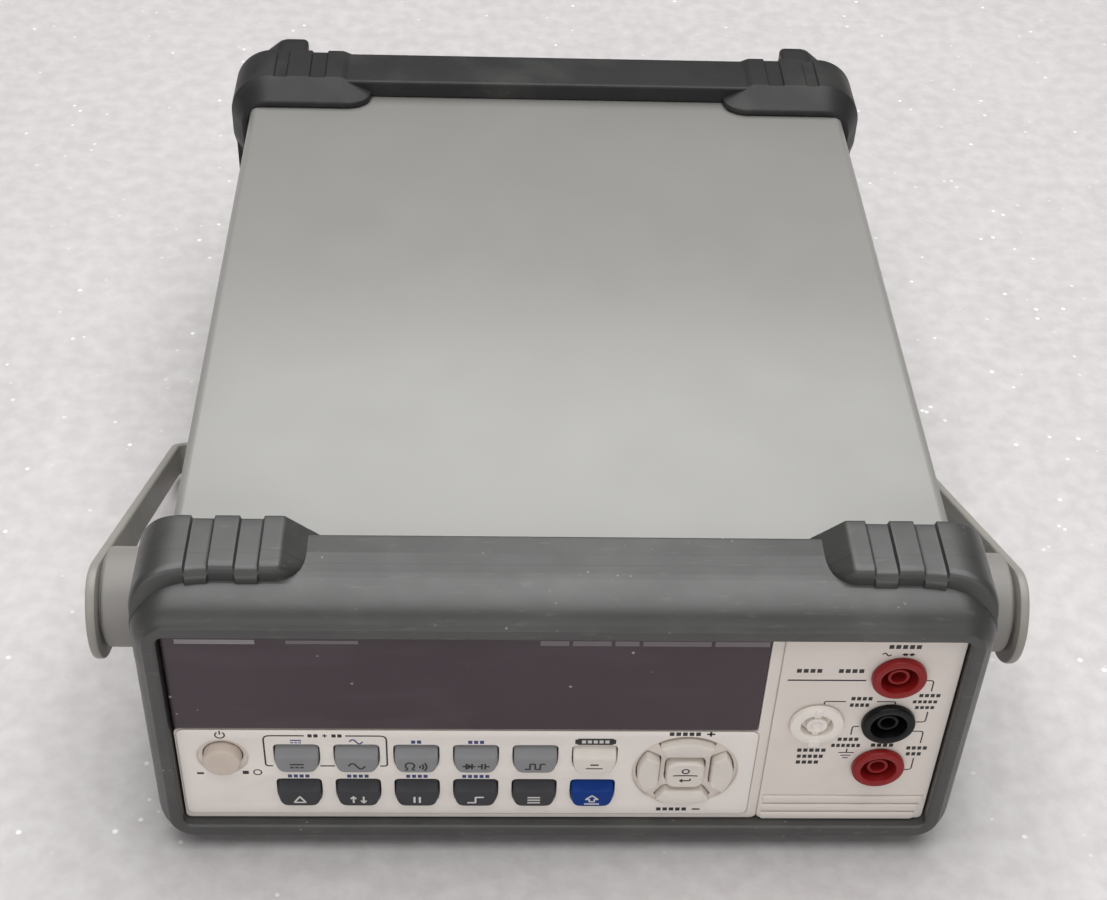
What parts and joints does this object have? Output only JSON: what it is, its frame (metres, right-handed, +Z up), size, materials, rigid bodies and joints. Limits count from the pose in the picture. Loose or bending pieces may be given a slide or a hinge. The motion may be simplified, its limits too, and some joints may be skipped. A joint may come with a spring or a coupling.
{
  "type": "bench digital multimeter",
  "caption": "Half-rack bench meter with a smoked display window, push keys, safety sockets, rubber corner bumpers and a turning strap handle.",
  "frame": {"origin": "centre of the footprint, on the surface the meter stands on", "axes": "+Z up, -Y towards the user at the front panel, +X to the user's right"},
  "size_m": [0.265, 0.302, 0.107],
  "materials": {
    "case_paint": "fine-textured light grey enamel on sheet steel",
    "zinc_steel": "zinc-plated sheet",
    "bumper_rubber": "matt dark grey moulded elastomer",
    "pale_plastic": "fine-grained warm light grey moulding",
    "smoked_window": "smoked acrylic with a violet tint",
    "display_glass": "dark display glass",
    "circuit_board": "green laminate",
    "silicone": "black silicone",
    "black_plastic": "black moulding",
    "red_plastic": "satin red moulding",
    "brass": "turned and gold-flashed",
    "white_plastic": "satin white moulding",
    "fuse_glass": "plated ends on a glass tube",
    "core_steel": "varnished lamination stack with taped winding",
    "capacitor_sleeve": "shrink sleeve",
    "cable_grey": "flat ribbon insulation",
    "rear_steel": "light grey enamel on sheet steel",
    "plated_shell": "nickel plate",
    "screw_steel": "zinc-plated screw head",
    "handle_steel": "satin grey paint on strap steel",
    "hub_plastic": "mid grey moulding",
    "grey_key": "mid grey moulded key",
    "dark_key": "dark grey moulded key",
    "blue_key": "blue moulded key"
  },
  "bodies": {
    "case": {"case_cover": "case_paint", "chassis_tray": "zinc_steel", "front_bumper": "bumper_rubber", "rear_bumper": "bumper_rubber", "front_panel": "pale_plastic", "terminal_panel": "pale_plastic", "display_window": "smoked_window", "display_glass": "display_glass", "display_board": "circuit_board", "keypad_mat": "silicone", "key_board": "circuit_board", "power_switch": "black_plastic", "volts_jack": "red_plastic", "volts_contact": "brass", "common_jack": "black_plastic", "common_contact": "brass", "amps_jack": "red_plastic", "amps_contact": "brass", "fuse_holder": "white_plastic", "main_board": "circuit_board", "mains_transformer": "core_steel", "filter_capacitor": "capacitor_sleeve", "shield_can": "zinc_steel", "range_relay": "white_plastic", "ribbon_cable": "cable_grey", "rear_panel": "rear_steel", "mains_inlet": "black_plastic", "usb_port": "plated_shell", "network_port": "plated_shell", "trigger_in_socket": "plated_shell", "trigger_out_socket": "plated_shell", "rear_panel_screw_left": "screw_steel", "rear_panel_screw_right": "screw_steel", "left_hub_boss": "hub_plastic", "left_pivot_screw": "screw_steel", "right_hub_boss": "hub_plastic", "right_pivot_screw": "screw_steel"},
    "volts_dc": {"volts_dc_key": "grey_key"},
    "volts_ac": {"volts_ac_key": "grey_key"},
    "ohms": {"ohms_key": "grey_key"},
    "diode": {"diode_key": "grey_key"},
    "frequency": {"frequency_key": "grey_key"},
    "second": {"second_key": "pale_plastic"},
    "relative": {"relative_key": "dark_key"},
    "extremes": {"extremes_key": "dark_key"},
    "hold": {"hold_key": "dark_key"},
    "trigger": {"trigger_key": "dark_key"},
    "menu": {"menu_key": "dark_key"},
    "shift": {"shift_key": "blue_key"},
    "cursor_up": {"cursor_up_key": "pale_plastic"},
    "cursor_left": {"cursor_left_key": "pale_plastic"},
    "cursor_down": {"cursor_down_key": "pale_plastic"},
    "cursor_right": {"cursor_right_key": "pale_plastic"},
    "enter": {"enter_key": "pale_plastic"},
    "power": {"power_button": "pale_plastic", "power_rod": "black_plastic"},
    "fuse_carrier": {"current_fuse": "fuse_glass"},
    "fuse_knob": {"fuse_cap": "white_plastic"},
    "fuse_drawer": {"mains_fuse_drawer": "black_plastic"},
    "handle": {"carry_handle": "handle_steel"}
  },
  "joints": [
    {"name": "volts_dc_press", "type": "slide", "parent": "case", "child": "volts_dc", "axis": [0, 1, 0], "range_m": [0, 0.0008], "stiffness_N_per_m": 900, "springref_m": -0.0005},
    {"name": "volts_ac_press", "type": "slide", "parent": "case", "child": "volts_ac", "axis": [0, 1, 0], "range_m": [0, 0.0008], "stiffness_N_per_m": 900, "springref_m": -0.0005},
    {"name": "ohms_press", "type": "slide", "parent": "case", "child": "ohms", "axis": [0, 1, 0], "range_m": [0, 0.0008], "stiffness_N_per_m": 900, "springref_m": -0.0005},
    {"name": "diode_press", "type": "slide", "parent": "case", "child": "diode", "axis": [0, 1, 0], "range_m": [0, 0.0008], "stiffness_N_per_m": 900, "springref_m": -0.0005},
    {"name": "frequency_press", "type": "slide", "parent": "case", "child": "frequency", "axis": [0, 1, 0], "range_m": [0, 0.0008], "stiffness_N_per_m": 900, "springref_m": -0.0005},
    {"name": "second_press", "type": "slide", "parent": "case", "child": "second", "axis": [0, 1, 0], "range_m": [0, 0.0008], "stiffness_N_per_m": 900, "springref_m": -0.0005},
    {"name": "relative_press", "type": "slide", "parent": "case", "child": "relative", "axis": [0, 1, 0], "range_m": [0, 0.0008], "stiffness_N_per_m": 900, "springref_m": -0.0005},
    {"name": "extremes_press", "type": "slide", "parent": "case", "child": "extremes", "axis": [0, 1, 0], "range_m": [0, 0.0008], "stiffness_N_per_m": 900, "springref_m": -0.0005},
    {"name": "hold_press", "type": "slide", "parent": "case", "child": "hold", "axis": [0, 1, 0], "range_m": [0, 0.0008], "stiffness_N_per_m": 900, "springref_m": -0.0005},
    {"name": "trigger_press", "type": "slide", "parent": "case", "child": "trigger", "axis": [0, 1, 0], "range_m": [0, 0.0008], "stiffness_N_per_m": 900, "springref_m": -0.0005},
    {"name": "menu_press", "type": "slide", "parent": "case", "child": "menu", "axis": [0, 1, 0], "range_m": [0, 0.0008], "stiffness_N_per_m": 900, "springref_m": -0.0005},
    {"name": "shift_press", "type": "slide", "parent": "case", "child": "shift", "axis": [0, 1, 0], "range_m": [0, 0.0008], "stiffness_N_per_m": 900, "springref_m": -0.0005},
    {"name": "cursor_up_press", "type": "slide", "parent": "case", "child": "cursor_up", "axis": [0, 1, 0], "range_m": [0, 0.0008], "stiffness_N_per_m": 900, "springref_m": -0.0005},
    {"name": "cursor_left_press", "type": "slide", "parent": "case", "child": "cursor_left", "axis": [0, 1, 0], "range_m": [0, 0.0008], "stiffness_N_per_m": 900, "springref_m": -0.0005},
    {"name": "cursor_down_press", "type": "slide", "parent": "case", "child": "cursor_down", "axis": [0, 1, 0], "range_m": [0, 0.0008], "stiffness_N_per_m": 900, "springref_m": -0.0005},
    {"name": "cursor_right_press", "type": "slide", "parent": "case", "child": "cursor_right", "axis": [0, 1, 0], "range_m": [0, 0.0008], "stiffness_N_per_m": 900, "springref_m": -0.0005},
    {"name": "enter_press", "type": "slide", "parent": "case", "child": "enter", "axis": [0, 1, 0], "range_m": [0, 0.0008], "stiffness_N_per_m": 900, "springref_m": -0.0005},
    {"name": "power_push", "type": "slide", "parent": "case", "child": "power", "axis": [0, 1, 0], "range_m": [0, 0.0022]},
    {"name": "fuse_draw", "type": "slide", "parent": "case", "child": "fuse_carrier", "axis": [0, -1, 0], "range_m": [0, 0.045]},
    {"name": "fuse_cap_turn", "type": "hinge", "parent": "fuse_carrier", "child": "fuse_knob", "pos_m": [0.0704, -0.146, 0.0554], "axis": [0, 1, 0], "range_deg": [0, 90]},
    {"name": "fuse_drawer_slide", "type": "slide", "parent": "case", "child": "fuse_drawer", "axis": [0, 1, 0], "range_m": [0, 0.019]},
    {"name": "handle_turn", "type": "hinge", "parent": "case", "child": "handle", "pos_m": [0, -0.108, 0.062], "axis": [-1, 0, 0], "range_deg": [0, 314]}
  ]
}
